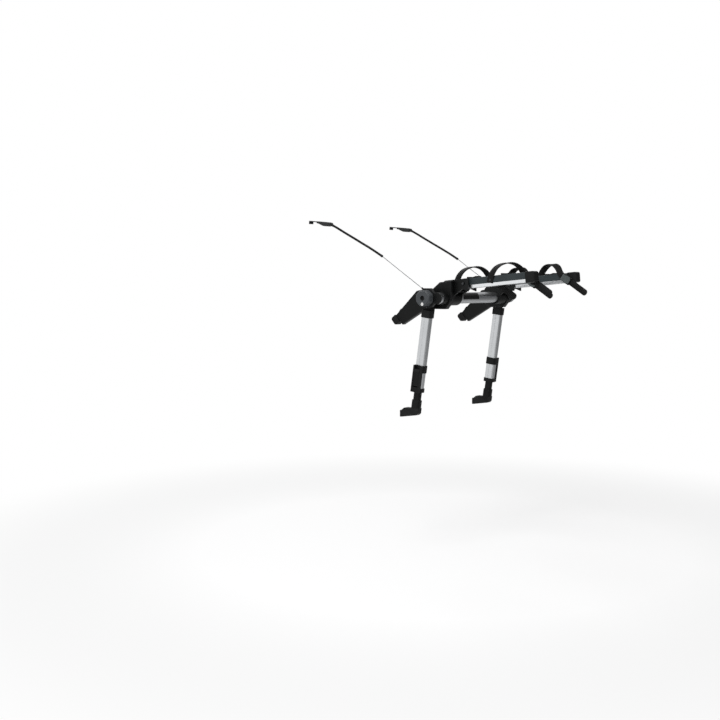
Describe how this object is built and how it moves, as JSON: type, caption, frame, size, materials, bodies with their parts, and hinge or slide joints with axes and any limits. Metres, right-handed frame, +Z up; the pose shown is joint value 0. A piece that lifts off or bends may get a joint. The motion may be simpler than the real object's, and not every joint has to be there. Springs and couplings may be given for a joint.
{
  "type": "trunk mounted bike rack",
  "caption": "Trunk mounted bike rack with fold-down arms, ladder straps, telescopic legs, rubber feet and knob-tightened cables with hooks",
  "frame": {"origin": "midway between the contact faces of the two lower feet, on the car side", "axes": "+X the car's right, +Y forward towards the car, +Z up"},
  "size_m": [0.66, 1.0843, 0.8142],
  "materials": {
    "aluminium": "brushed",
    "steel": "brushed",
    "black_plastic": "fine grain",
    "slate_plastic": "fine grain",
    "grey_plastic": "satin",
    "buckle_grey": "satin",
    "white_plastic": "smooth",
    "rubber": "matt",
    "label_black": "bare, smooth"
  },
  "bodies": {
    "rack": {"cross_tube": "aluminium", "tube_plugs": "black_plastic", "label_plate": "label_black", "pivot_bolts": "steel", "arm_pins": "steel", "winch_covers": "black_plastic", "left_hub_body": "black_plastic", "left_winch_housing": "black_plastic", "left_steel_cable": "steel", "left_cable_sleeve": "rubber", "left_hook_body": "rubber", "left_hook_tongue": "steel", "right_hub_body": "black_plastic", "right_winch_housing": "black_plastic", "right_steel_cable": "steel", "right_cable_sleeve": "rubber", "right_hook_body": "rubber", "right_hook_tongue": "steel"},
    "left_arm": {"left_arm_rail": "aluminium", "left_arm_cover": "slate_plastic", "left_arm_end_cap": "black_plastic", "left_cradle_pads": "rubber", "left_inner_strap": "rubber", "left_outer_strap": "rubber", "left_buckles": "black_plastic"},
    "left_inner_buckle": {"left_inner_buckle_lever": "buckle_grey"},
    "left_outer_buckle": {"left_outer_buckle_lever": "buckle_grey"},
    "left_leg": {"left_leg_knuckle": "black_plastic", "left_leg_tube": "aluminium", "left_leg_clamp": "black_plastic"},
    "left_stem": {"left_leg_stem": "black_plastic", "left_foot_pad": "rubber"},
    "left_clamp": {"left_clamp_lever": "black_plastic"},
    "left_upper_foot": {"left_upper_foot_arm": "black_plastic", "left_upper_pad": "rubber"},
    "left_knob": {"left_winch_drum": "steel", "left_winch_knob": "grey_plastic", "left_knob_marker": "white_plastic"},
    "left_pawl": {"left_winch_pawl": "steel"},
    "right_arm": {"right_arm_rail": "aluminium", "right_arm_cover": "slate_plastic", "right_arm_end_cap": "black_plastic", "right_cradle_pads": "rubber", "right_inner_strap": "rubber", "right_outer_strap": "rubber", "right_buckles": "black_plastic"},
    "right_inner_buckle": {"right_inner_buckle_lever": "buckle_grey"},
    "right_outer_buckle": {"right_outer_buckle_lever": "buckle_grey"},
    "right_leg": {"right_leg_knuckle": "black_plastic", "right_leg_tube": "aluminium", "right_leg_clamp": "black_plastic"},
    "right_stem": {"right_leg_stem": "black_plastic", "right_foot_pad": "rubber"},
    "right_clamp": {"right_clamp_lever": "black_plastic"},
    "right_upper_foot": {"right_upper_foot_arm": "black_plastic", "right_upper_pad": "rubber"},
    "right_knob": {"right_winch_drum": "steel", "right_winch_knob": "grey_plastic", "right_knob_marker": "white_plastic"},
    "right_pawl": {"right_winch_pawl": "steel"}
  },
  "joints": [
    {"name": "left_arm_fold", "type": "hinge", "parent": "rack", "child": "left_arm", "pos_m": [-0.183, -0.25069, 0.52966], "axis": [1, 0, 0], "range_deg": [0, 95]},
    {"name": "left_leg_swing", "type": "hinge", "parent": "rack", "child": "left_leg", "pos_m": [-0.274, -0.12769, 0.47146], "axis": [1, 0, 0], "range_deg": [-12, 30]},
    {"name": "left_leg_extend", "type": "slide", "parent": "left_leg", "child": "left_stem", "axis": [0, 0.1392, -0.9903], "range_m": [-0.03, 0.06]},
    {"name": "left_clamp_flip", "type": "hinge", "parent": "left_leg", "child": "left_clamp", "pos_m": [-0.3079, -0.0845, 0.12106], "axis": [0, -0.9903, -0.1392], "range_deg": [0, 100]},
    {"name": "left_upper_foot_swing", "type": "hinge", "parent": "rack", "child": "left_upper_foot", "pos_m": [-0.257, -0.12769, 0.47146], "axis": [1, 0, 0], "range_deg": [-20, 20]},
    {"name": "left_knob_turn", "type": "hinge", "parent": "rack", "child": "left_knob", "pos_m": [-0.314, -0.12769, 0.47146], "axis": [1, 0, 0], "continuous": true},
    {"name": "left_pawl_lift", "type": "hinge", "parent": "rack", "child": "left_pawl", "pos_m": [-0.286, -0.09814, 0.47146], "axis": [1, 0, 0], "range_deg": [0, 20], "stiffness_Nm_per_rad": 0.02},
    {"name": "left_inner_buckle_flip", "type": "hinge", "parent": "left_arm", "child": "left_inner_buckle", "pos_m": [-0.149, -0.34782, 0.54443], "axis": [0, -0.5604, 0.8282], "range_deg": [0, 100]},
    {"name": "left_outer_buckle_flip", "type": "hinge", "parent": "left_arm", "child": "left_outer_buckle", "pos_m": [-0.149, -0.50118, 0.55838], "axis": [0, -0.5604, 0.8282], "range_deg": [0, 100]},
    {"name": "right_arm_fold", "type": "hinge", "parent": "rack", "child": "right_arm", "pos_m": [0.183, -0.25069, 0.52966], "axis": [1, 0, 0], "range_deg": [0, 95]},
    {"name": "right_leg_swing", "type": "hinge", "parent": "rack", "child": "right_leg", "pos_m": [0.274, -0.12769, 0.47146], "axis": [1, 0, 0], "range_deg": [-12, 30]},
    {"name": "right_leg_extend", "type": "slide", "parent": "right_leg", "child": "right_stem", "axis": [0, 0.1392, -0.9903], "range_m": [-0.03, 0.06]},
    {"name": "right_clamp_flip", "type": "hinge", "parent": "right_leg", "child": "right_clamp", "pos_m": [0.3079, -0.0845, 0.12106], "axis": [0, 0.9903, 0.1392], "range_deg": [0, 100]},
    {"name": "right_upper_foot_swing", "type": "hinge", "parent": "rack", "child": "right_upper_foot", "pos_m": [0.257, -0.12769, 0.47146], "axis": [1, 0, 0], "range_deg": [-20, 20]},
    {"name": "right_knob_turn", "type": "hinge", "parent": "rack", "child": "right_knob", "pos_m": [0.314, -0.12769, 0.47146], "axis": [1, 0, 0], "continuous": true},
    {"name": "right_pawl_lift", "type": "hinge", "parent": "rack", "child": "right_pawl", "pos_m": [0.286, -0.09814, 0.47146], "axis": [1, 0, 0], "range_deg": [0, 20], "stiffness_Nm_per_rad": 0.02},
    {"name": "right_inner_buckle_flip", "type": "hinge", "parent": "right_arm", "child": "right_inner_buckle", "pos_m": [0.149, -0.34782, 0.54443], "axis": [0, 0.5604, -0.8282], "range_deg": [0, 100]},
    {"name": "right_outer_buckle_flip", "type": "hinge", "parent": "right_arm", "child": "right_outer_buckle", "pos_m": [0.149, -0.50118, 0.55838], "axis": [0, 0.5604, -0.8282], "range_deg": [0, 100]}
  ]
}
